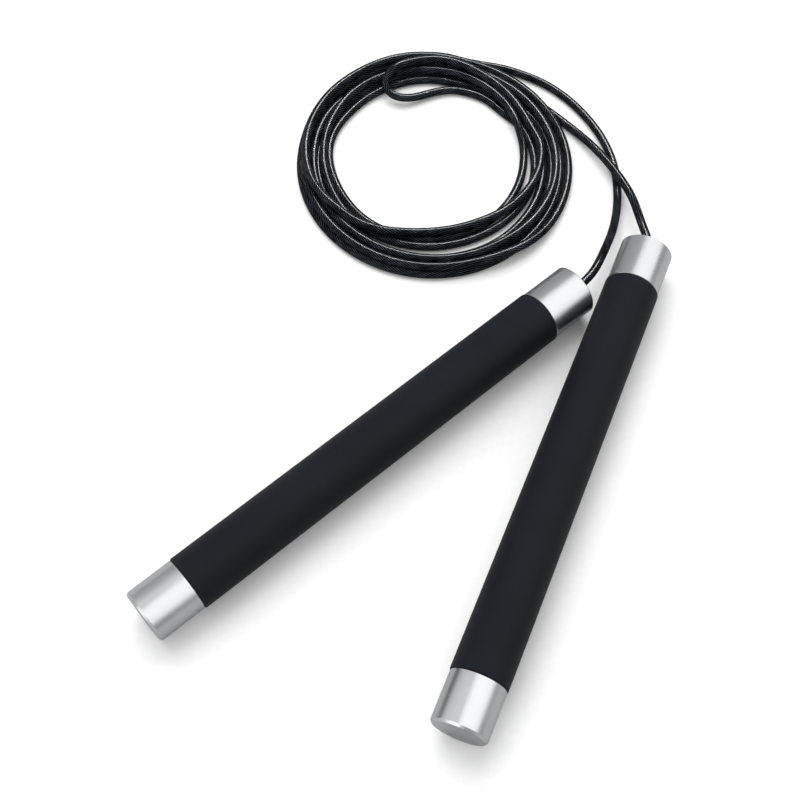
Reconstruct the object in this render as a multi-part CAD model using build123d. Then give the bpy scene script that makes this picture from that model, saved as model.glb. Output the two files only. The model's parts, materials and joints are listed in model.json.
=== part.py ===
from build123d import *

import math
import os

# Jump rope: two long round handles that spin on ball bearings about a coated steel cable.
# Millimetres, +Z up. The origin is on the floor, under the middle of the two handles' common box.
# Each handle is modelled lying along +X, with its rear face at x = 0 and its axis at y = z = 0,
# and is then laid on the floor at its own place and heading.

# ---- driving dimensions ----------------------------------------------------------------------

HANDLE_LENGTH = 222.0
GRIP_DIAMETER = 23.0
CAP_DIAMETER = 22.3
CABLE_DIAMETER = 3.7
REAR_CAP_LENGTH = 20.4
FRONT_CAP_LENGTH = 21.0

# where each handle lies: the middle of its axis in plan, and the heading of its front end
HANDLE_PLACES = {
    "left": {"middle": (-17.30, 12.08), "heading": 39.7},
    "right": {"middle": (56.82, -0.14), "heading": 67.0},
}

# core tube and grip
TUBE_DIAMETER = 16.0
TUBE_BORE = 12.0
TUBE_DEPTH_IN_REAR_CAP = 14.0
TUBE_DEPTH_IN_FRONT_CAP = 7.5
GRIP_END_ROUND = 0.6

# cap edges
REAR_CAP_CHAMFER = 0.9
FRONT_CAP_CHAMFER = 0.4
CAP_GRIP_SIDE_CHAMFER = 0.35

# ball bearing, 6 x 13 x 5
BEARING_BORE = 6.0
BEARING_DIAMETER = 13.0
BEARING_WIDTH = 5.0
BALL_DIAMETER = 2.0
BALL_COUNT = 8
BALL_PITCH_DIAMETER = 9.5
GROOVE_CLEARANCE = 0.06
INNER_RACE_DIAMETER = 8.3
OUTER_RACE_BORE = 10.7
SHIELD_BORE = 8.7
SHIELD_DIAMETER = 11.5
SHIELD_THICKNESS = 0.3
CAGE_BORE = 8.8
CAGE_DIAMETER = 10.2
CAGE_WIDTH = 3.2
POCKET_CLEARANCE = 0.1

# swivel spindle, its clip and the cable stop behind it
SPINDLE_CABLE_CLEARANCE = 0.05
SPINDLE_FLANGE_DIAMETER = 8.2
SPINDLE_FLANGE_THICKNESS = 2.0
SPINDLE_NOSE = 1.5
SPINDLE_NOSE_ROUND = 0.4
FRONT_HOLE_CLEARANCE = 0.3
CLIP_GROOVE_DEPTH = 0.4
CLIP_DIAMETER = 8.0
CLIP_THICKNESS = 0.6
CLIP_OPENING = 3.0
CLIP_POCKET_DIAMETER = 9.4
CLIP_POCKET_DEPTH = 1.1
STOP_DIAMETER = 9.0
STOP_LENGTH = 8.0
SCREW_DIAMETER = 3.0
SCREW_LENGTH = 2.2
SCREW_SOCKET_ACROSS_FLATS = 1.5
SCREW_SOCKET_DEPTH = 1.1
CABLE_TAIL = 3.0

# the coil, lying flat: its outer and inner outlines are circles that don't share a centre,
# because the turns are bunched on the left and fanned out on the right
COIL_OUTER_CENTRE = (10.4, 157.7)
COIL_OUTER_RADIUS = 63.2
COIL_INNER_CENTRE = (5.8, 159.3)
COIL_INNER_RADIUS = 40.6
COIL_HEIGHT = 9.0
COIL_EDGE_ROUND = 2.5

# ---- worked out from them --------------------------------------------------------------------

GRIP_RADIUS = GRIP_DIAMETER / 2
CAP_RADIUS = CAP_DIAMETER / 2
CABLE_RADIUS = CABLE_DIAMETER / 2
TUBE_RADIUS = TUBE_DIAMETER / 2
BALL_RADIUS = BALL_DIAMETER / 2
BALL_PITCH_RADIUS = BALL_PITCH_DIAMETER / 2
SPINDLE_RADIUS = BEARING_BORE / 2
BEARING_RADIUS = BEARING_DIAMETER / 2

GRIP_START = REAR_CAP_LENGTH
GRIP_END = HANDLE_LENGTH - FRONT_CAP_LENGTH
TUBE_START = GRIP_START - TUBE_DEPTH_IN_REAR_CAP
TUBE_END = GRIP_END + TUBE_DEPTH_IN_FRONT_CAP
BEARING_STARTS = {"rear": TUBE_END, "front": TUBE_END + BEARING_WIDTH}
SEAT_END = TUBE_END + 2 * BEARING_WIDTH
NOSE_END = HANDLE_LENGTH + SPINDLE_NOSE
FLANGE_START = TUBE_END - SPINDLE_FLANGE_THICKNESS
STOP_START = FLANGE_START - STOP_LENGTH
CABLE_END_START = STOP_START - CABLE_TAIL


def handle_point(side, along):
    """A point on a handle's axis line in the rope's frame, at a distance along from its rear face."""
    place = HANDLE_PLACES[side]
    heading = math.radians(place["heading"])
    reach = along - HANDLE_LENGTH / 2
    x = place["middle"][0] + reach * math.cos(heading)
    y = place["middle"][1] + reach * math.sin(heading)
    return (x, y, GRIP_RADIUS)


# Routes of the two cable leads, from the spindle's nose to the coil. Both leave along the handle's
# axis, bend over to the floor, and the right one goes over the left one before it joins the coil.
LEAD_ROUTES = {
    "left": [
        handle_point("left", NOSE_END),
        handle_point("left", NOSE_END + 12.0),
        (88.6, 112.5, 7.6),
        (93.0, 135.5, 3.0),
        (93.8, 158.5, CABLE_RADIUS),
        (85.6, 181.5, CABLE_RADIUS),
        (68.4, 201.5, CABLE_RADIUS),
        (47.6, 211.5, CABLE_RADIUS),
        (28.0, 214.5, CABLE_RADIUS),
    ],
    "right": [
        handle_point("right", NOSE_END),
        handle_point("right", NOSE_END + 12.0),
        (102.6, 131.5, 10.4),
        (96.6, 143.6, 9.6),
        (88.2, 157.4, 9.2),
        (77.4, 172.0, 4.8),
        (65.8, 185.2, CABLE_RADIUS),
        (54.6, 194.6, CABLE_RADIUS),
    ],
}


# ---- shapes along the handle's axis ----------------------------------------------------------


def rod(radius, start, end):
    """A round bar along +X."""
    return extrude(Plane.YZ.offset(start) * Circle(radius), amount=end - start)


def pipe(outer_radius, inner_radius, start, end):
    """A round pipe along +X."""
    return rod(outer_radius, start, end) - rod(inner_radius, start, end)


def turned(profile):
    """A turned part: a closed outline of (x, radius) points spun about the handle's axis."""
    outline = [(x, 0, radius) for x, radius in profile]
    return revolve(make_face(Polyline(*outline, close=True)), Axis.X)


def ball_places(middle):
    """The centres of one bearing's balls."""
    places = []
    for index in range(BALL_COUNT):
        angle = 2 * math.pi * index / BALL_COUNT
        y = BALL_PITCH_RADIUS * math.cos(angle)
        z = BALL_PITCH_RADIUS * math.sin(angle)
        places.append((middle, y, z))
    return places


def groove(middle):
    """The ring-shaped room that a bearing's balls run in."""
    return Plane.YZ.offset(middle) * Torus(BALL_PITCH_RADIUS, BALL_RADIUS + GROOVE_CLEARANCE)


# ---- handle body -----------------------------------------------------------------------------


def core_tube():
    """Aluminium tube that carries both caps and the grip."""
    return pipe(TUBE_RADIUS, TUBE_BORE / 2, TUBE_START, TUBE_END)


def grip_sleeve():
    """Soft sleeve over the core tube, between the caps."""
    sleeve = pipe(GRIP_RADIUS, TUBE_RADIUS, GRIP_START, GRIP_END)
    rims = sleeve.edges().filter_by(GeomType.CIRCLE).sort_by(SortBy.RADIUS)[-2:]
    return fillet(rims, GRIP_END_ROUND)


def rear_cap():
    """Closed cap on the core tube's rear end."""
    profile = [
        (0, 0),
        (0, CAP_RADIUS - REAR_CAP_CHAMFER),
        (REAR_CAP_CHAMFER, CAP_RADIUS),
        (GRIP_START - CAP_GRIP_SIDE_CHAMFER, CAP_RADIUS),
        (GRIP_START, CAP_RADIUS - CAP_GRIP_SIDE_CHAMFER),
        (GRIP_START, TUBE_RADIUS),
        (TUBE_START, TUBE_RADIUS),
        (TUBE_START, 0),
    ]
    return turned(profile)


def front_cap():
    """Cap that houses both bearings: socket for the tube, bearing seat, clip pocket, front hole."""
    hole_radius = SPINDLE_RADIUS + FRONT_HOLE_CLEARANCE
    profile = [
        (GRIP_END, TUBE_RADIUS),
        (GRIP_END, CAP_RADIUS - CAP_GRIP_SIDE_CHAMFER),
        (GRIP_END + CAP_GRIP_SIDE_CHAMFER, CAP_RADIUS),
        (HANDLE_LENGTH - FRONT_CAP_CHAMFER, CAP_RADIUS),
        (HANDLE_LENGTH, CAP_RADIUS - FRONT_CAP_CHAMFER),
        (HANDLE_LENGTH, hole_radius),
        (SEAT_END + CLIP_POCKET_DEPTH, hole_radius),
        (SEAT_END + CLIP_POCKET_DEPTH, CLIP_POCKET_DIAMETER / 2),
        (SEAT_END, CLIP_POCKET_DIAMETER / 2),
        (SEAT_END, BEARING_RADIUS),
        (TUBE_END, BEARING_RADIUS),
        (TUBE_END, TUBE_RADIUS),
    ]
    return turned(profile)


# ---- ball bearing ----------------------------------------------------------------------------


def outer_race(start):
    """Outer ring: ball groove inside, and a shallow step at each face for a shield."""
    ring = pipe(BEARING_RADIUS, OUTER_RACE_BORE / 2, start, start + BEARING_WIDTH)
    ring -= groove(start + BEARING_WIDTH / 2)
    for face in (start, start + BEARING_WIDTH - SHIELD_THICKNESS):
        ring -= rod(SHIELD_DIAMETER / 2, face, face + SHIELD_THICKNESS)
    return ring


def inner_race(start):
    """Inner ring on the spindle, with its ball groove."""
    ring = pipe(INNER_RACE_DIAMETER / 2, SPINDLE_RADIUS, start, start + BEARING_WIDTH)
    return ring - groove(start + BEARING_WIDTH / 2)


def balls(start):
    """The loose balls of one bearing, as separate solids."""
    middle = start + BEARING_WIDTH / 2
    return Compound(children=[Pos(*place) * Sphere(BALL_RADIUS) for place in ball_places(middle)])


def ball_cage(start):
    """Ring with one pocket for each ball."""
    middle = start + BEARING_WIDTH / 2
    half_width = CAGE_WIDTH / 2
    cage = pipe(CAGE_DIAMETER / 2, CAGE_BORE / 2, middle - half_width, middle + half_width)
    for place in ball_places(middle):
        cage -= Pos(*place) * Sphere(BALL_RADIUS + POCKET_CLEARANCE)
    return cage


def bearing_shields(start):
    """The two thin dust shields of one bearing."""
    shields = []
    for face in (start, start + BEARING_WIDTH - SHIELD_THICKNESS):
        shields.append(pipe(SHIELD_DIAMETER / 2, SHIELD_BORE / 2, face, face + SHIELD_THICKNESS))
    return Compound(children=shields)


# ---- swivel ----------------------------------------------------------------------------------


def swivel_spindle():
    """Hollow spindle that the bearings turn on: flange behind, clip groove and nose in front."""
    bore = CABLE_RADIUS + SPINDLE_CABLE_CLEARANCE
    groove_radius = SPINDLE_RADIUS - CLIP_GROOVE_DEPTH
    profile = [
        (FLANGE_START, bore),
        (FLANGE_START, SPINDLE_FLANGE_DIAMETER / 2),
        (TUBE_END, SPINDLE_FLANGE_DIAMETER / 2),
        (TUBE_END, SPINDLE_RADIUS),
        (SEAT_END, SPINDLE_RADIUS),
        (SEAT_END, groove_radius),
        (SEAT_END + CLIP_THICKNESS, groove_radius),
        (SEAT_END + CLIP_THICKNESS, SPINDLE_RADIUS),
        (NOSE_END - SPINDLE_NOSE_ROUND, SPINDLE_RADIUS),
        (NOSE_END, SPINDLE_RADIUS - SPINDLE_NOSE_ROUND),
        (NOSE_END, bore),
    ]
    return turned(profile)


def spindle_clip():
    """Open snap ring in the spindle's groove, in front of the bearings."""
    inner_radius = SPINDLE_RADIUS - CLIP_GROOVE_DEPTH
    clip = pipe(CLIP_DIAMETER / 2, inner_radius, SEAT_END, SEAT_END + CLIP_THICKNESS)
    gap_middle = (SEAT_END + CLIP_THICKNESS / 2, 0, -CLIP_DIAMETER / 4)
    return clip - Pos(*gap_middle) * Box(2 * CLIP_THICKNESS, CLIP_OPENING, CLIP_DIAMETER / 2)


def screw_place():
    """Where the clamping screw's tip meets the cable, at the stop's middle; the screw points up."""
    return Pos(STOP_START + STOP_LENGTH / 2, 0, CABLE_RADIUS + SPINDLE_CABLE_CLEARANCE)


def cable_stop():
    """Collar clamped on the cable behind the spindle, with a tapped hole for its screw."""
    bore = CABLE_RADIUS + SPINDLE_CABLE_CLEARANCE
    collar = pipe(STOP_DIAMETER / 2, bore, STOP_START, FLANGE_START)
    hole = Cylinder(SCREW_DIAMETER / 2, STOP_DIAMETER, align=(Align.CENTER, Align.CENTER, Align.MIN))
    return collar - screw_place() * hole


def stop_screw():
    """Headless screw with a hexagon socket that holds the cable in the stop."""
    seated = (Align.CENTER, Align.CENTER, Align.MIN)
    screw = Cylinder(SCREW_DIAMETER / 2, SCREW_LENGTH, align=seated)
    hexagon = RegularPolygon(SCREW_SOCKET_ACROSS_FLATS / 2, 6, major_radius=False)
    socket_floor = SCREW_LENGTH - SCREW_SOCKET_DEPTH
    screw -= Pos(0, 0, socket_floor) * extrude(hexagon, amount=SCREW_SOCKET_DEPTH)
    return screw_place() * screw


def cable_end():
    """The straight end of the cable that the spindle and the stop hold."""
    return rod(CABLE_RADIUS, CABLE_END_START, NOSE_END)


# ---- free cable ------------------------------------------------------------------------------


def corner_radii(route):
    """One arc radius for each corner of a route: as large as the shorter of its two runs allows."""
    radii = []
    for before, corner, after in zip(route, route[1:], route[2:]):
        arriving = Vector(*corner) - Vector(*before)
        leaving = Vector(*after) - Vector(*corner)
        half_turn = math.radians(arriving.get_angle(leaving)) / 2
        shorter_run = min(arriving.length, leaving.length)
        radii.append(0.45 * shorter_run / math.tan(half_turn))
    return radii


def lead(side):
    """The loose cable from a handle's nose to the coil, as straight runs joined by tangent arcs."""
    route = LEAD_ROUTES[side]
    radii = corner_radii(route)
    path = FilletPolyline(*route, radius=radii)
    section = Plane(origin=path @ 0, z_dir=path % 0) * Circle(CABLE_RADIUS)
    tube = sweep(section, path=path)
    expected = math.pi * CABLE_RADIUS**2 * path.length
    print(side, "lead: radii", [round(radius, 1) for radius in radii])
    print(side, "lead: length", round(path.length, 1), "volume ratio", round(tube.volume / expected, 4))
    return tube


def coil():
    """The outer shape of the coiled cable: a low ring, wider on the right than on the left."""
    outer = Pos(*COIL_OUTER_CENTRE) * Circle(COIL_OUTER_RADIUS)
    inner = Pos(*COIL_INNER_CENTRE) * Circle(COIL_INNER_RADIUS)
    ring = extrude(outer - inner, amount=COIL_HEIGHT)
    return fillet(ring.edges().filter_by(GeomType.CIRCLE), COIL_EDGE_ROUND)


# ---- building and writing --------------------------------------------------------------------


def handle_parts():
    """Every piece of one handle, lying along +X, by its name without the side."""
    parts = {
        "core_tube": core_tube(),
        "grip_sleeve": grip_sleeve(),
        "rear_cap": rear_cap(),
        "front_cap": front_cap(),
        "swivel_spindle": swivel_spindle(),
        "spindle_clip": spindle_clip(),
        "cable_stop": cable_stop(),
        "stop_screw": stop_screw(),
        "cable_end": cable_end(),
    }
    for place, start in BEARING_STARTS.items():
        parts[f"{place}_bearing_outer_race"] = outer_race(start)
        parts[f"{place}_bearing_inner_race"] = inner_race(start)
        parts[f"{place}_bearing_balls"] = balls(start)
        parts[f"{place}_bearing_cage"] = ball_cage(start)
        parts[f"{place}_bearing_shields"] = bearing_shields(start)
    return parts


def handle_location(side):
    """Moves a handle from lying along +X to its own place on the floor."""
    heading = HANDLE_PLACES[side]["heading"]
    return Location(handle_point(side, 0), (0, 0, heading))


def main():
    os.makedirs("parts", exist_ok=True)
    shapes = {"coil": coil()}
    local_parts = handle_parts()
    for side in HANDLE_PLACES:
        shapes[f"{side}_lead"] = lead(side)
        for name, shape in local_parts.items():
            shapes[f"{side}_{name}"] = shape.moved(handle_location(side))
    for node, shape in shapes.items():
        export_step(shape, f"parts/{node}.step")


main()
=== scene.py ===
import json
import math

import bpy
import numpy as np
from mathutils import Matrix, Vector


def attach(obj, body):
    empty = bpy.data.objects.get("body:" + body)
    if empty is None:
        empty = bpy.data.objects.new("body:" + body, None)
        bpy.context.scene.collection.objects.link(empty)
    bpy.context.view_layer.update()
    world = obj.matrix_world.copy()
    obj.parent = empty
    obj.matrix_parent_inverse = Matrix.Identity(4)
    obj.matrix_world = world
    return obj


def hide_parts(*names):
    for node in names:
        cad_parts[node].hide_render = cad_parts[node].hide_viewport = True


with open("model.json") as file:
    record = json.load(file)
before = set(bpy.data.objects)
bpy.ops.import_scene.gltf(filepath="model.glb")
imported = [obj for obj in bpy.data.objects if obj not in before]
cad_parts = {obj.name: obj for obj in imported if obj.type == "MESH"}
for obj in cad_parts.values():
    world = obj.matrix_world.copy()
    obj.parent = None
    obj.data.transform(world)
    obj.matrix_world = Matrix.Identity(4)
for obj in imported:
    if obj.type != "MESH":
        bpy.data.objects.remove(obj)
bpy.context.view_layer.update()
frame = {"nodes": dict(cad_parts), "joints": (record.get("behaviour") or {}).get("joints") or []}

# A cable jump rope on a pale floor: two handles and one cable, folded in half and coiled doubled.
# Metres, +Z up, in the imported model's own frame. The handles are the CAD nodes with their own
# materials; the cable is one long mesh that stands for the CAD's two leads and coil.

# ---- cable -----------------------------------------------------------------------------------

CABLE_DIAMETER = 0.0037
CABLE_RADIUS = CABLE_DIAMETER / 2

# route of each lead, from its spindle's nose to the coil
LEFT_LEAD = [
    (0.06926, 0.08394, 0.0115),
    (0.0755, 0.0892, 0.0115),
    (0.0822, 0.1027, 0.0096),
    (0.0892, 0.1200, 0.0052),
    (0.0928, 0.1400, CABLE_RADIUS),
    (0.0920, 0.1590, CABLE_RADIUS),
    (0.0844, 0.1795, CABLE_RADIUS),
    (0.0686, 0.2000, CABLE_RADIUS),
    (0.0476, 0.2118, CABLE_RADIUS),
    (0.0280, 0.2158, CABLE_RADIUS),
]
RIGHT_LEAD = [
    (0.10078, 0.10342, 0.0115),
    (0.1018, 0.1058, 0.0115),
    (0.0996, 0.1175, 0.0102),
    (0.0976, 0.1345, 0.0070),
    (0.0915, 0.1493, 0.0055),
    (0.0836, 0.1630, 0.0044),
    (0.0742, 0.1763, CABLE_RADIUS),
    (0.0622, 0.1885, CABLE_RADIUS),
    (0.0510, 0.1970, CABLE_RADIUS),
]

# the coil's edges in plan: two circles that don't share a centre
COIL_OUTER_CENTRE = (0.0104, 0.1577)
COIL_OUTER_RADIUS = 0.0632
COIL_INNER_CENTRE = (0.0060, 0.1622)
COIL_INNER_RADIUS = 0.0437
COIL_CENTRE = (0.0090, 0.1580)

# Where each half of the cable lies: lane 0 is the coil's inner edge and lane 1 its outer edge, and
# the second number is the layer. One row for each turn: right, far side, left and near side.
LEFT_LANES = [
    [(1.12, 0.0), (0.80, 0.0), (0.92, 0.0), (0.95, 0.0)],
    [(0.78, 0.0), (0.52, 0.0), (0.49, 1.0), (0.68, 1.0)],
    [(0.69, 1.0), (0.46, 1.0), (0.77, 1.0), (0.87, 1.0)],
    [(0.97, 0.0), (0.56, 1.0), (0.80, 2.1), (0.00, 0.4)],
    [(0.38, 1.0), (0.30, 2.0)],
]
RIGHT_LANES = [
    [(0.50, 0.0), (0.66, 0.0), (0.62, 0.0), (0.77, 0.0)],
    [(0.60, 0.0), (0.35, 0.0), (0.34, 0.0), (0.60, 0.0)],
    [(0.42, 0.0), (0.08, 0.0), (0.00, 0.0), (0.11, 0.0)],
    [(0.00, 0.0), (0.22, 1.0), (0.15, 1.0), (0.22, 0.0)],
    [(0.24, 0.0), (-0.30, 0.0)],
]
TURNS = 4
POINTS_PER_TURN = 36
LAYER_HEIGHT = 0.87 * CABLE_DIAMETER
# degrees from each lead's end to its half's first point, and past the last whole turn to its last
LEFT_START_GAP = 8
RIGHT_START_GAP = 8
LEFT_OVERRUN = 5
RIGHT_OVERRUN = 18

# the hairpin in the cable's middle, from the left half's end round to the right half's end
FOLD = [
    (0.0558, 0.1725, 0.0055),
    (0.0525, 0.1809, 0.0062),
    (0.0469, 0.1911, 0.0068),
    (0.0393, 0.1987, 0.0075),
    (0.0306, 0.2057, 0.0080),
    (0.0232, 0.2098, 0.0090),
    (0.0138, 0.2126, 0.0095),
    (0.0050, 0.2124, 0.0110),
    (-0.0032, 0.2104, 0.0115),
    (-0.0090, 0.2074, 0.0115),
    (-0.0123, 0.2026, 0.0105),
    (-0.0121, 0.1974, 0.0085),
    (-0.0081, 0.1938, 0.0062),
    (-0.0023, 0.1934, 0.0045),
    (0.0040, 0.1953, 0.0032),
    (0.0105, 0.1983, 0.0024),
    (0.0208, 0.2009, 0.0019),
    (0.0319, 0.1995, 0.0019),
    (0.0416, 0.1933, 0.0019),
]

# How the laid coil settles: at each step it sinks a little, its turns push each other apart, and it
# is smoothed and drawn back towards the laid line. Then come a few rounds of pushing apart alone.
SETTLING_SPACING = 0.003
SETTLING_STEPS = 400
SINK_STEP = 0.00005
PUSHES_PER_STEP = 2
PASSES_PER_STEP = 3
PAIRS_EVERY = 8
NEAR_DISTANCE = 1.9 * CABLE_DIAMETER
OWN_NEIGHBOURS = 6
LEAST_DISTANCE = 1e-6
SMOOTHING = 0.45
LAID_PULL = 0.04
NO_PULL = 0.0
LAST_SMOOTHING_PASSES = 8
LAST_ROUNDS = 10
PUSHES_PER_LAST_ROUND = 6
# settled points left out next to each lead, so that the spline's runs shorten little by little
JOIN_SKIPS = (3, 2)

SPLINE_RESOLUTION = 12
TUBE_RING_SPACING = 0.0015
TUBE_SIDES = 20

# the steel under the cable's jacket: fine wires laid one way, and the strands they form the other
WIRES_ROUND_CABLE = 12
STRANDS_ROUND_CABLE = 5
WIRE_LAY = 0.5
STRAND_LAY = -0.3
# jacket colours; the wire colour is partly the steel's own tone and partly a painted highlight
# (glint)
CABLE_GAP = (0.0002, 0.0002, 0.0004)
CABLE_BODY = (0.0006, 0.0008, 0.0015)
CABLE_WIRE_AND_GLINT = (0.090, 0.104, 0.130)

# ---- finishes of the handles -----------------------------------------------------------------

CAP_ALUMINIUM = (0.655, 0.665, 0.680)
TUBE_ALUMINIUM = (0.62, 0.63, 0.65)
STOP_ALUMINIUM = (0.70, 0.70, 0.72)
SPINDLE_BRASS = (0.72, 0.56, 0.28)
RACE_STEEL = (0.72, 0.72, 0.74)
BALL_STEEL = (0.80, 0.80, 0.82)
SHIELD_STEEL = (0.60, 0.60, 0.62)
CAGE_STEEL = (0.52, 0.52, 0.54)
CLIP_STEEL = (0.16, 0.16, 0.17)
SCREW_STEEL = (0.10, 0.10, 0.11)
CABLE_END = (0.02, 0.02, 0.024)
GRIP_DARK = (0.0040, 0.0052, 0.0078)
GRIP_LIGHT = (0.0084, 0.0106, 0.0148)

# ---- floor, room, lights and camera ----------------------------------------------------------

FLOOR_SIZE = 8.0
FLOOR_DARK = (0.93, 0.93, 0.93)
FLOOR_LIGHT = (0.96, 0.96, 0.96)

# how bright the floor and the room are in reflections, against 1 for the floor as it is
FLOOR_IN_REFLECTIONS = 0.46
HORIZON_IN_REFLECTIONS = 0.33
ZENITH_IN_REFLECTIONS = 0.54
ROOM_LIGHT = 0.80

# each light's place, width, height and power
BACK_LIGHT = ((-0.21, 0.79, 0.985), 1.3, 1.3, 15.4)
RIGHT_PANEL = ((0.61, 0.0, 1.05), 2.34, 1.87, 12.9)
LEFT_PANEL = ((-0.97, 0.36, 0.94), 0.84, 1.62, 2.2)
FRONT_PANEL = ((-0.95, -0.85, 0.28), 1.3, 0.5, 3.4)
CABLE_STRIP = ((0.20, 0.80, 0.87), 0.50, 0.38, 80.0)
LIGHT_AIM = (0.03, 0.06, 0.0)

CAMERA_PLACE = (-0.00637, -0.19655, 0.46458)
CAMERA_PITCH = math.radians(63.320)
CAMERA_ROLL = math.radians(-0.458)
CAMERA_LENS = 56.37
CAMERA_SENSOR = 36.0

# ---- the cable's line ------------------------------------------------------------------------


def nurbs_line(name, points, resolution):
    """A curve object with no thickness: one open NURBS spline with these control points."""
    data = bpy.data.curves.new(name, "CURVE")
    data.dimensions = "3D"
    data.resolution_u = resolution
    spline = data.splines.new("NURBS")
    spline.points.add(len(points) - 1)
    for spline_point, place in zip(spline.points, points):
        spline_point.co = (*place, 1.0)
    spline.resolution_u = resolution
    spline.order_u = 3
    spline.use_endpoint_u = True
    return bpy.data.objects.new(name, data)


def points_along(control_points):
    """Points along the NURBS line that has these control points, close together."""
    line = nurbs_line("line_to_read", control_points, SPLINE_RESOLUTION)
    mesh = bpy.data.meshes.new_from_object(line)
    points = np.array([vertex.co for vertex in mesh.vertices], float)
    data = line.data
    bpy.data.objects.remove(line)
    bpy.data.curves.remove(data)
    bpy.data.meshes.remove(mesh)
    return points


def distances_along(points):
    """How far each point is from the first, along the line."""
    steps = np.linalg.norm(np.diff(points, axis=0), axis=1)
    return np.concatenate([[0], np.cumsum(steps)])


def evenly_spaced(points, spacing):
    """The same line with its points an equal distance apart."""
    along = distances_along(points)
    count = round(along[-1] / spacing)
    stops = np.linspace(0, along[-1], count + 1)
    return np.stack([np.interp(stops, along, points[:, axis]) for axis in range(3)], axis=1)


def smooth_value(values, place):
    """The value at a place between the listed ones, on a smooth curve through them."""
    index = min(int(place), len(values) - 2)
    before = values[max(index - 1, 0)]
    start = values[index]
    end = values[index + 1]
    after = values[min(index + 2, len(values) - 1)]
    t = place - index
    start_slope = (end - before) / 2
    end_slope = (after - start) / 2
    rise = t * t * (3 - 2 * t)
    lead_in = t * (1 - t) ** 2
    lead_out = t * t * (t - 1)
    return start + rise * (end - start) + lead_in * start_slope + lead_out * end_slope


def coil_point(angle, lane, layer):
    """A point of the coil at an angle in plan, in a lane and a layer."""
    inner_reach = COIL_INNER_RADIUS + CABLE_RADIUS
    outer_reach = COIL_OUTER_RADIUS - CABLE_RADIUS
    inner_x = COIL_INNER_CENTRE[0] + inner_reach * math.cos(angle)
    inner_y = COIL_INNER_CENTRE[1] + inner_reach * math.sin(angle)
    outer_x = COIL_OUTER_CENTRE[0] + outer_reach * math.cos(angle)
    outer_y = COIL_OUTER_CENTRE[1] + outer_reach * math.sin(angle)
    x = inner_x + lane * (outer_x - inner_x)
    y = inner_y + lane * (outer_y - inner_y)
    return (x, y, CABLE_RADIUS + LAYER_HEIGHT * max(layer, 0))


def half_turns(lead, lanes, start_gap, overrun):
    """One half of the cable in the coil: its turns, counter-clockwise from the end of its lead."""
    stations = [station for row in lanes for station in row]
    lane_values = [lane for lane, layer in stations]
    layer_values = [layer for lane, layer in stations]
    lead_angle = math.atan2(lead[-1][1] - COIL_CENTRE[1], lead[-1][0] - COIL_CENTRE[0])
    start = lead_angle + math.radians(start_gap)
    end = math.radians(360 * TURNS + overrun)
    count = round((end - start) / math.tau * POINTS_PER_TURN)
    points = []
    for step in range(count + 1):
        angle = start + (end - start) * step / count
        place = angle / (math.tau / 4)
        lane = smooth_value(lane_values, place)
        layer = smooth_value(layer_values, place)
        points.append(coil_point(angle, lane, layer))
    return points


def near_pairs(line):
    """Each point and segment of the cable that lie near each other in plan."""
    middles = (line[1:, :2] + line[:-1, :2]) / 2
    gaps = line[:, None, :2] - middles[None, :, :]
    point, segment = np.nonzero((gaps ** 2).sum(axis=2) < NEAR_DISTANCE ** 2)
    steps_between = np.minimum(abs(point - segment), abs(point - segment - 1))
    apart = steps_between > OWN_NEIGHBOURS
    return point[apart], segment[apart]


def pushes(line, point, segment):
    """How far each point of the cable is pushed by the stretches that it overlaps."""
    start = line[segment]
    run = line[segment + 1] - start
    share = ((line[point] - start) * run).sum(axis=1) / (run * run).sum(axis=1)
    share = np.clip(share, 0, 1)
    gap = line[point] - start - share[:, None] * run
    distance = np.linalg.norm(gap, axis=1)
    hit = distance < CABLE_DIAMETER
    point, segment, share, gap = point[hit], segment[hit], share[hit], gap[hit]
    distance = np.maximum(distance[hit], LEAST_DISTANCE)
    push = gap * ((CABLE_DIAMETER - distance) / distance / 2)[:, None]
    move = np.zeros_like(line)
    weight = np.zeros(len(line))
    for index, part in ((point, share * 0 + 1), (segment, share - 1), (segment + 1, -share)):
        np.add.at(move, index, push * part[:, None])
        np.add.at(weight, index, abs(part))
    return move / np.maximum(weight, 1)[:, None]


def evened(values, fixed, passes):
    """Values evened out along the cable, except at its fixed points."""
    for _ in range(passes):
        even = values.copy()
        neighbours = (values[:-2] + values[2:]) / 2
        even[1:-1] = (1 - SMOOTHING) * values[1:-1] + SMOOTHING * neighbours
        even[fixed] = values[fixed]
        values = even
    return values


def held_to_laid(line, laid, fixed, pull, passes):
    """The line smoothed as a stiff cable is: its shift from the laid line in plan, and its height."""
    shift = evened(line - laid, fixed, passes)
    smooth = laid + shift * (1 - pull)
    smooth[:, 2] = np.maximum(evened(line[:, 2], fixed, passes), CABLE_RADIUS)
    smooth[fixed] = line[fixed]
    return smooth


def pushed_apart(line, fixed, point, segment, times):
    """The line with its overlapping stretches pushed apart, and kept above the floor."""
    free = ~fixed
    for _ in range(times):
        line[free] += pushes(line, point, segment)[free]
        line[:, 2] = np.maximum(line[:, 2], CABLE_RADIUS)
    return line


def settle(laid, fixed):
    """The laid coil sinks, and its turns push each other aside and up, until they rest."""
    line = laid.copy()
    for step in range(SETTLING_STEPS):
        if step % PAIRS_EVERY == 0:
            point, segment = near_pairs(line)
        line[~fixed, 2] -= SINK_STEP
        line = pushed_apart(line, fixed, point, segment, PUSHES_PER_STEP)
        line = held_to_laid(line, laid, fixed, LAID_PULL, PASSES_PER_STEP)
    line = held_to_laid(line, laid, fixed, NO_PULL, LAST_SMOOTHING_PASSES)
    for _ in range(LAST_ROUNDS):
        point, segment = near_pairs(line)
        line = pushed_apart(line, fixed, point, segment, PUSHES_PER_LAST_ROUND)
        line = held_to_laid(line, laid, fixed, NO_PULL, passes=1)
    return line


def nearest_index(line, place):
    """The number of the line's point that is nearest to a place."""
    return int(np.argmin(np.linalg.norm(line - np.array(place), axis=1)))


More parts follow.
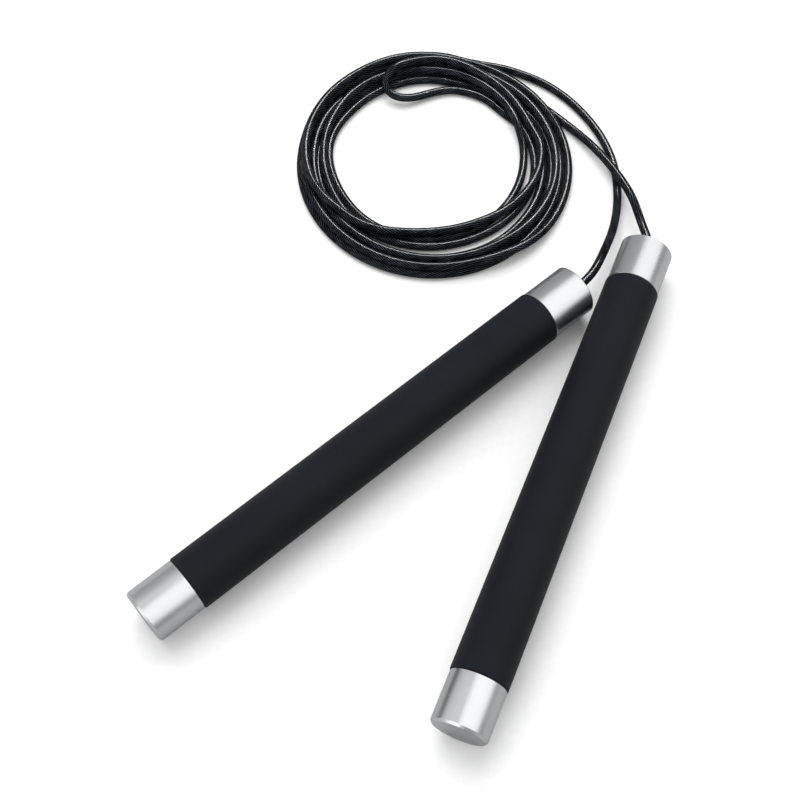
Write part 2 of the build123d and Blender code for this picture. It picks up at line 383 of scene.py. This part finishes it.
def cable_route():
    """Control points of the whole cable, from the left spindle's nose to the right one's."""
    left_half = half_turns(LEFT_LEAD, LEFT_LANES, LEFT_START_GAP, LEFT_OVERRUN)
    right_half = half_turns(RIGHT_LEAD, RIGHT_LANES, RIGHT_START_GAP, RIGHT_OVERRUN)
    route = LEFT_LEAD + left_half + FOLD + right_half[::-1] + RIGHT_LEAD[::-1]
    laid = evenly_spaced(points_along(route), SETTLING_SPACING)
    coil_start = nearest_index(laid, LEFT_LEAD[-1])
    coil_end = nearest_index(laid, RIGHT_LEAD[-1])
    fixed = np.ones(len(laid), bool)
    fixed[coil_start + 1 : coil_end] = False
    settled = settle(laid, fixed)
    first, last = coil_start, coil_end
    into_coil, out_of_coil = [], []
    for skip in JOIN_SKIPS:
        first += skip
        last -= skip
        into_coil.append(settled[first])
        out_of_coil.insert(0, settled[last])
    turns = list(settled[first + 1 : last])
    coil = into_coil + turns + out_of_coil
    return LEFT_LEAD + [tuple(map(float, point)) for point in coil] + RIGHT_LEAD[::-1]


def ring_frames(path):
    """Two directions across the path at each of its points, turned as little as possible along it."""
    tangents = np.gradient(path, axis=0)
    tangents /= np.linalg.norm(tangents, axis=1)[:, None]
    across = np.cross(tangents[0], (0, 0, 1))
    firsts, seconds = [], []
    for tangent in tangents:
        across = across - tangent * np.dot(across, tangent)
        across = across / np.linalg.norm(across)
        firsts.append(across)
        seconds.append(np.cross(tangent, across))
    return np.array(firsts), np.array(seconds)


def tube_mesh(name, path, radius, sides):
    """A closed tube along a path. Its UV is in turns of its own girth: along, then around."""
    firsts, seconds = ring_frames(path)
    angles = np.arange(sides) * math.tau / sides
    cosines = np.cos(angles)[None, :, None]
    sines = np.sin(angles)[None, :, None]
    rings = path[:, None, :] + radius * (firsts[:, None, :] * cosines + seconds[:, None, :] * sines)
    faces, places = [], []
    along = distances_along(path) / (math.tau * radius)
    for ring in range(len(path) - 1):
        for side in range(sides):
            beside = (side + 1) % sides
            here, there = ring * sides, (ring + 1) * sides
            faces.append((here + side, here + beside, there + beside, there + side))
            low, high = side / sides, (side + 1) / sides
            start, end = along[ring], along[ring + 1]
            places += [(start, low), (start, high), (end, high), (end, low)]
    first_end = tuple(reversed(range(sides)))
    last_end = tuple(range((len(path) - 1) * sides, len(path) * sides))
    faces += [first_end, last_end]
    places += [(0, 0)] * (2 * sides)
    mesh = bpy.data.meshes.new(name)
    mesh.from_pydata(rings.reshape(-1, 3).tolist(), [], faces)
    layer = mesh.uv_layers.new(name="along_and_around")
    layer.data.foreach_set("uv", np.array(places, np.float32).ravel())
    mesh.shade_smooth()
    mesh.update()
    return mesh


# ---- materials -------------------------------------------------------------------------------


class Shader:
    """A node material with one Principled shader, built a node at a time."""

    def __init__(self, name, **sockets):
        self.material = bpy.data.materials.new(name)
        self.material.use_nodes = True
        self.tree = self.material.node_tree
        self.tree.nodes.clear()
        self.shader = self.node("ShaderNodeBsdfPrincipled")
        output = self.node("ShaderNodeOutputMaterial")
        self.link(self.shader.outputs["BSDF"], output.inputs["Surface"])
        for socket, value in sockets.items():
            self.shader.inputs[socket.replace("_", " ")].default_value = value

    def node(self, kind, inputs=None, **settings):
        """A new node with these settings, and these values or links for its inputs."""
        node = self.tree.nodes.new(kind)
        for setting, value in settings.items():
            setattr(node, setting, value)
        for socket, value in (inputs or {}).items():
            if isinstance(value, bpy.types.NodeSocket):
                self.link(value, node.inputs[socket])
            else:
                node.inputs[socket].default_value = value
        return node

    def link(self, output, socket):
        self.tree.links.new(output, socket)

    def to_shader(self, output, socket):
        self.link(output, self.shader.inputs[socket])

    def math(self, operation, first, second=0.0):
        node = self.node("ShaderNodeMath", {0: first, 1: second}, operation=operation)
        return node.outputs[0]

    def mix(self, first, second, share):
        """Two patterns added up: this share of the first, and the rest of the second."""
        part = self.math("MULTIPLY", first, share)
        rest = self.math("MULTIPLY", second, 1 - share)
        return self.math("ADD", part, rest)

    def object_place(self):
        return self.node("ShaderNodeTexCoord").outputs["Object"]

    def noise(self, place, scale, detail=2.0, roughness=0.5):
        inputs = {"Vector": place, "Scale": scale, "Detail": detail, "Roughness": roughness}
        return self.node("ShaderNodeTexNoise", inputs).outputs["Fac"]

    def span(self, value, low, high, start=0.3, end=0.7):
        """The value from start to end, stretched from low to high."""
        inputs = {"Value": value, "From Min": start, "From Max": end, "To Min": low, "To Max": high}
        return self.node("ShaderNodeMapRange", inputs).outputs["Result"]

    def colours(self, value, *stops):
        """A colour for the value: each stop is (position, red, green, blue)."""
        ramp = self.node("ShaderNodeValToRGB", {"Fac": value}).color_ramp
        while len(ramp.elements) < len(stops):
            ramp.elements.new(0.5)
        for element, stop in zip(ramp.elements, stops):
            element.position = stop[0]
            element.color = (*stop[1:], 1.0)
        return self.tree.nodes[-1].outputs["Color"]

    def bump(self, height, distance, strength=1.0):
        inputs = {"Height": height, "Distance": distance, "Strength": strength}
        self.to_shader(self.node("ShaderNodeBump", inputs).outputs["Normal"], "Normal")


def along_axis(shader, joint):
    """How far a place is along a handle's axis, for marks that run round the handle."""
    place = shader.object_place()
    inputs = {0: place, 1: joint["axis"]}
    return shader.node("ShaderNodeVectorMath", inputs, operation="DOT_PRODUCT").outputs["Value"]


def tinted(colour, factor):
    """The colour made lighter or darker, with no channel above 1."""
    return tuple(min(channel * factor, 1.0) for channel in colour)


def turned_metal(name, colour, joint, roughness, ring_spacing):
    """Metal turned on a lathe: fine rings round the axis, and faint cloudy differences."""
    shader = Shader(name, Metallic=1.0)
    along = along_axis(shader, joint)
    rings = shader.node(
        "ShaderNodeTexNoise",
        {"W": along, "Scale": 1 / ring_spacing, "Detail": 3.0, "Roughness": 0.7},
        noise_dimensions="1D",
    ).outputs["Fac"]
    clouds = shader.noise(shader.object_place(), 60, 4.0)
    mixed = shader.mix(rings, clouds, 0.18)
    dark, light = tinted(colour, 0.95), tinted(colour, 1.04)
    shader.to_shader(shader.colours(mixed, (0.3, *dark), (0.7, *light)), "Base Color")
    shader.to_shader(shader.span(mixed, roughness * 0.85, roughness * 1.15), "Roughness")
    shader.bump(rings, 0.00000002)
    return shader.material


def soft_touch(name):
    """The grip's matt dark skin: a fine grain, faint clouds and a soft sheen."""
    shader = Shader(name, Sheen_Weight=0.03, Sheen_Roughness=0.4, Specular_IOR_Level=0.12)
    place = shader.object_place()
    grain = shader.noise(place, 3500, 3.0, 0.6)
    clouds = shader.noise(place, 45, 4.0)
    mixed = shader.mix(grain, clouds, 0.6)
    colour = shader.colours(mixed, (0.3, *GRIP_DARK), (0.7, *GRIP_LIGHT))
    shader.to_shader(colour, "Base Color")
    shader.to_shader(shader.span(mixed, 0.50, 0.66), "Roughness")
    shader.bump(grain, 0.00006, 0.6)
    return shader.material


def cable_jacket(name):
    """A glossy smoked jacket over steel: bright wires, partly painted highlight, and dark gaps
    between strands.
    """
    gloss = {"Coat_Weight": 0.5, "Coat_Roughness": 0.08, "Coat_IOR": 1.16}
    shader = Shader(name, Specular_IOR_Level=0.0, **gloss)
    place = shader.node("ShaderNodeUVMap", uv_map="along_and_around").outputs["UV"]
    split = shader.node("ShaderNodeSeparateXYZ", {"Vector": place})
    along, around = split.outputs["X"], split.outputs["Y"]

    def waves(count, lay):
        """A wave this many times round the cable, whose crests turn by the lay in each girth."""
        turn = shader.math("SUBTRACT", around, shader.math("MULTIPLY", along, lay))
        return shader.math("SINE", shader.math("MULTIPLY", turn, math.tau * count))

    wires = shader.span(waves(WIRES_ROUND_CABLE, WIRE_LAY), 0.0, 1.0, 0.2, 1.0)
    strands = shader.span(waves(STRANDS_ROUND_CABLE, STRAND_LAY), 0.7, 1.0, -1.0, 0.2)
    clouds = shader.span(shader.noise(shader.object_place(), 220, 3.0), 0.55, 1.15)
    glint = shader.math("MULTIPLY", shader.math("MULTIPLY", wires, strands), clouds)
    # the wire crests are painted bright: partly the steel's own tone, partly a painted highlight
    colour = shader.colours(glint, (0.0, *CABLE_GAP), (0.3, *CABLE_BODY), (1.0, *CABLE_WIRE_AND_GLINT))
    shader.to_shader(colour, "Base Color")
    shader.to_shader(shader.span(clouds, 0.28, 0.40, 0.55, 1.15), "Roughness")
    shader.bump(glint, 0.00008, 0.5)
    return shader.material


def plain_metal(name, colour, roughness, grain=900):
    """A small machined or pressed metal part: fine grain and faint stains."""
    shader = Shader(name, Metallic=1.0)
    place = shader.object_place()
    fine = shader.noise(place, grain, 3.0, 0.6)
    stains = shader.noise(place, 150, 3.0)
    mixed = shader.mix(fine, stains, 0.5)
    dark, light = tinted(colour, 0.82), tinted(colour, 1.10)
    shader.to_shader(shader.colours(mixed, (0.3, *dark), (0.7, *light)), "Base Color")
    shader.to_shader(shader.span(mixed, roughness * 0.8, roughness * 1.25), "Roughness")
    shader.bump(fine, 0.000006)
    return shader.material


# ---- building --------------------------------------------------------------------------------


def build_cable():
    """The whole cable as one piece, attached to the rope body in place of the leads and coil."""
    route = cable_route()
    path = evenly_spaced(points_along(route), TUBE_RING_SPACING)
    mesh = tube_mesh("cable", path, CABLE_RADIUS, TUBE_SIDES)
    cable = bpy.data.objects.new("cable", mesh)
    bpy.context.scene.collection.objects.link(cable)
    mesh.materials.append(cable_jacket("cable_jacket"))
    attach(cable, "rope")
    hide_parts("left_lead", "right_lead", "coil")
    return cable


def handle_materials(side, joint, shared):
    """The material of each node of one handle, by the node's name."""
    cap = turned_metal(side + "_cap_aluminium", CAP_ALUMINIUM, joint, 0.30, 0.0004)
    race = turned_metal(side + "_bearing_steel", RACE_STEEL, joint, 0.16, 0.0003)
    tube = turned_metal(side + "_tube_aluminium", TUBE_ALUMINIUM, joint, 0.35, 0.0008)
    stop = turned_metal(side + "_stop_aluminium", STOP_ALUMINIUM, joint, 0.30, 0.0003)
    spindle = turned_metal(side + "_spindle_brass", SPINDLE_BRASS, joint, 0.24, 0.0003)
    by_node = {
        side + "_grip_sleeve": soft_touch(side + "_grip_soft_touch"),
        side + "_core_tube": tube,
        side + "_rear_cap": cap,
        side + "_front_cap": cap,
        side + "_swivel_spindle": spindle,
        side + "_spindle_clip": shared["clip"],
        side + "_cable_stop": stop,
        side + "_stop_screw": shared["screw"],
        side + "_cable_end": plain_metal(side + "_cable_end_jacket", CABLE_END, 0.25),
    }
    for bearing in ("rear", "front"):
        stem = f"{side}_{bearing}_bearing_"
        by_node[stem + "outer_race"] = race
        by_node[stem + "inner_race"] = race
        by_node[stem + "balls"] = shared["balls"]
        by_node[stem + "cage"] = shared["cage"]
        by_node[stem + "shields"] = shared["shields"]
    return by_node


def dress_nodes():
    """Gives each CAD node of the handles its material. The cable stands for the other three."""
    joints = {joint["name"]: joint for joint in frame["joints"]}
    shared = {
        "cage": plain_metal("cage_steel", CAGE_STEEL, 0.34),
        "balls": plain_metal("ball_steel", BALL_STEEL, 0.12, grain=300),
        "clip": plain_metal("clip_steel", CLIP_STEEL, 0.40),
        "screw": plain_metal("screw_steel", SCREW_STEEL, 0.38),
        "shields": plain_metal("shield_steel", SHIELD_STEEL, 0.30),
    }
    for side in ("left", "right"):
        by_node = handle_materials(side, joints[side + "_handle_spin"], shared)
        for node, material in by_node.items():
            for slot in frame["nodes"][node].material_slots:
                slot.material = material


def build_floor():
    """A wide pale floor, dimmer where the object mirrors it."""
    half = FLOOR_SIZE / 2
    corners = [(-half, -half, 0), (half, -half, 0), (half, half, 0), (-half, half, 0)]
    mesh = bpy.data.meshes.new("floor")
    mesh.from_pydata(corners, [], [(0, 1, 2, 3)])
    floor = bpy.data.objects.new("floor", mesh)
    bpy.context.scene.collection.objects.link(floor)
    shader = Shader("floor_paper", Roughness=0.9, Specular_IOR_Level=0.1)
    tooth = shader.noise(shader.object_place(), 400, 3.0)
    paper = shader.colours(tooth, (0.3, *FLOOR_DARK), (0.7, *FLOOR_LIGHT))
    is_glossy = shader.node("ShaderNodeLightPath").outputs["Is Glossy Ray"]
    share = shader.span(is_glossy, 1.0, FLOOR_IN_REFLECTIONS, 0.0, 1.0)
    dimmed = shader.node("ShaderNodeVectorMath", {0: paper, "Scale": share}, operation="SCALE")
    shader.to_shader(dimmed.outputs["Vector"], "Base Color")
    shader.bump(tooth, 0.00002)
    mesh.materials.append(shader.material)


def softbox(name, place, width, height, power, lights=True, reflected=True):
    """A rectangular soft light aimed at the object. It may only light it, or only be reflected."""
    data = bpy.data.lights.new(name, "AREA")
    data.shape = "RECTANGLE"
    data.size = width
    data.size_y = height
    data.energy = power
    light = bpy.data.objects.new(name, data)
    bpy.context.scene.collection.objects.link(light)
    light.location = place
    towards = Vector(LIGHT_AIM) - Vector(place)
    light.rotation_euler = towards.to_track_quat("-Z", "Y").to_euler()
    light.visible_diffuse = lights
    light.visible_glossy = reflected
    return light


def build_room():
    """The pale room round the floor. In reflections it is dim, and darker near the horizon."""
    world = bpy.data.worlds.new("room")
    world.use_nodes = True
    tree = world.node_tree
    tree.nodes.clear()

    def stretched(value, low, high):
        """The value from 0 to 1, stretched from low to high, which may be links."""
        node = tree.nodes.new("ShaderNodeMapRange")
        for socket, end in (("To Min", low), ("To Max", high)):
            if isinstance(end, bpy.types.NodeSocket):
                tree.links.new(end, node.inputs[socket])
            else:
                node.inputs[socket].default_value = end
        tree.links.new(value, node.inputs["Value"])
        return node.outputs["Result"]

    direction = tree.nodes.new("ShaderNodeTexCoord").outputs["Generated"]
    split = tree.nodes.new("ShaderNodeSeparateXYZ")
    tree.links.new(direction, split.inputs["Vector"])
    reflected = stretched(split.outputs["Z"], HORIZON_IN_REFLECTIONS, ZENITH_IN_REFLECTIONS)
    is_glossy = tree.nodes.new("ShaderNodeLightPath").outputs["Is Glossy Ray"]
    strength = stretched(is_glossy, ROOM_LIGHT, reflected)
    background = tree.nodes.new("ShaderNodeBackground")
    background.inputs["Color"].default_value = (1.0, 1.0, 1.0, 1.0)
    tree.links.new(strength, background.inputs["Strength"])
    output = tree.nodes.new("ShaderNodeOutputWorld")
    tree.links.new(background.outputs["Background"], output.inputs["Surface"])
    bpy.context.scene.world = world


def build_light(cable):
    """A light from behind casts the shadows, and the panels are there only to be mirrored."""
    softbox("back_light", *BACK_LIGHT, reflected=False)
    softbox("right_panel", *RIGHT_PANEL, lights=False)
    softbox("left_panel", *LEFT_PANEL, lights=False)
    softbox("front_panel", *FRONT_PANEL, lights=False)
    strip = softbox("cable_strip", *CABLE_STRIP, lights=False)
    # only the cable mirrors the strip
    lit = bpy.data.collections.new("lit_by_strip")
    lit.objects.link(cable)
    strip.light_linking.receiver_collection = lit
    build_room()
    bpy.context.scene.view_settings.view_transform = "Standard"


def build_camera():
    """The camera: its place, and its pitch below the horizon while it looks along +Y."""
    forward = Vector((0, math.cos(CAMERA_PITCH), -math.sin(CAMERA_PITCH)))
    level_up = Vector((0, math.sin(CAMERA_PITCH), math.cos(CAMERA_PITCH)))
    level_right = Vector((1, 0, 0))
    right = math.cos(CAMERA_ROLL) * level_right + math.sin(CAMERA_ROLL) * level_up
    up = math.cos(CAMERA_ROLL) * level_up - math.sin(CAMERA_ROLL) * level_right
    data = bpy.data.cameras.new("camera")
    data.lens = CAMERA_LENS
    data.sensor_width = CAMERA_SENSOR
    data.clip_start = 0.01
    camera = bpy.data.objects.new("camera", data)
    bpy.context.scene.collection.objects.link(camera)
    turn = Matrix((right, up, -forward)).transposed().to_4x4()
    camera.matrix_world = Matrix.Translation(CAMERA_PLACE) @ turn
    bpy.context.scene.camera = camera


build_camera()
cable = build_cable()
dress_nodes()
build_floor()
build_light(cable)
